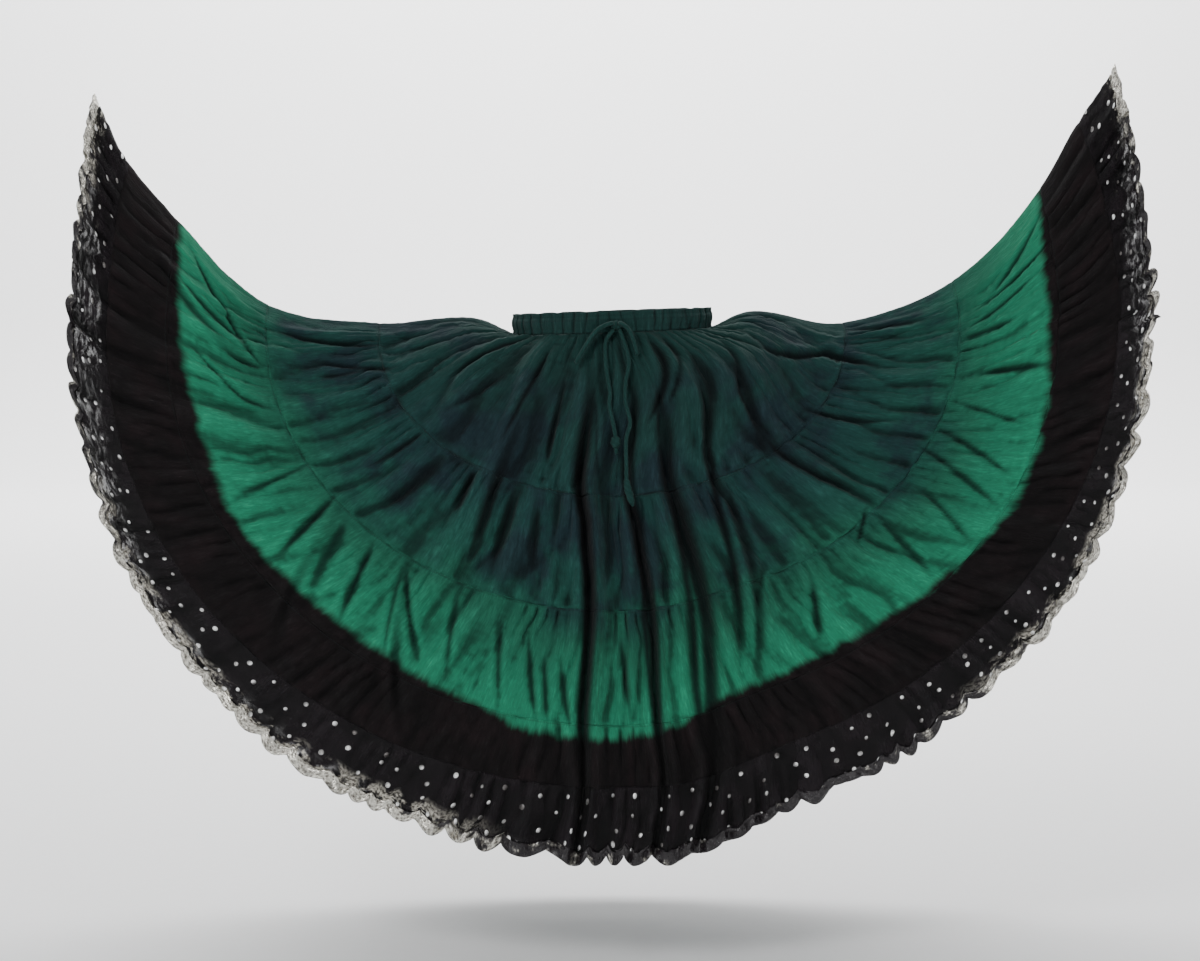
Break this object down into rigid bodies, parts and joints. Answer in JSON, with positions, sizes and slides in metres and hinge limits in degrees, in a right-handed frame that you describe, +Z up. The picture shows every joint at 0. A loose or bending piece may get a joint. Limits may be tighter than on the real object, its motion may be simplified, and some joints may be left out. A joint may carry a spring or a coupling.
{
  "type": "tribal belly dance skirt",
  "caption": "Long tiered gathered dance skirt on a drawstring waistband, spread in a fan with both side hem points lifted, with a sheer dotted ruffle and a foil hem ribbon.",
  "frame": {"origin": "the middle of the waistband, on the wearer's centre line and halfway up the band at its centre front", "axes": "+Z up along the wearer's body, +X towards the higher hem point, -Y is the front, where the drawstring hangs"},
  "size_m": [1.7471, 0.6696, 1.2623],
  "materials": {
    "teal_cotton": "dip-dyed crinkled cotton, dark teal to navy",
    "deep_green_cotton": "dip-dyed crinkled cotton, navy teal running into green",
    "green_cotton": "dip-dyed crinkled cotton, emerald green",
    "black_cotton": "crinkled cotton, brownish black",
    "sheer_black": "thin see-through black cloth with silver foil dots",
    "silver_ribbon": "crumpled woven foil ribbon, silver to champagne",
    "teal_tie": "soft round cotton tie, dyed dark teal with the skirt"
  },
  "bodies": {
    "root": {"waistband": "teal_cotton", "tier_1": "teal_cotton", "tier_2": "deep_green_cotton", "tier_3": "green_cotton", "tier_4": "black_cotton", "hem_ruffle": "sheer_black", "hem_ribbon": "silver_ribbon", "drawstring_knot": "teal_tie", "drawstring_loop_left": "teal_tie", "drawstring_loop_right": "teal_tie", "drawstring_end_left": "teal_tie", "drawstring_end_right": "teal_tie"}
  },
  "joints": []
}
